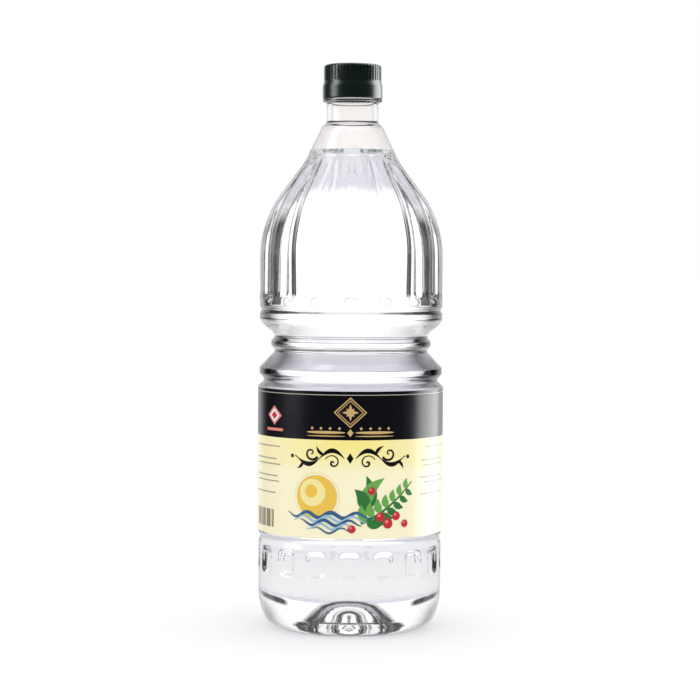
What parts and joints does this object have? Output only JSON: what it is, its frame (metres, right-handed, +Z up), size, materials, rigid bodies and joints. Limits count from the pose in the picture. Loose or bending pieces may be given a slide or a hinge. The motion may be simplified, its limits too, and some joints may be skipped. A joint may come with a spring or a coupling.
{
  "type": "vinegar bottle",
  "caption": "Tall clear plastic bottle of vinegar with fluted shoulders, a ringed waist, a wrap-around label and a ribbed screw cap.",
  "frame": {"origin": "centre of the foot ring, on the ground", "axes": "+Z up the bottle's axis; the front of the label faces -Y"},
  "size_m": [0.1058, 0.106, 0.32],
  "materials": {
    "clear_plastic": "clear, glossy blown plastic",
    "vinegar": "clear liquid",
    "cap_plastic": "satin moulded plastic",
    "label_film": "printed film"
  },
  "bodies": {
    "root": {"bottle": "clear_plastic", "vinegar": "vinegar", "cap": "cap_plastic", "label": "label_film"}
  },
  "joints": []
}
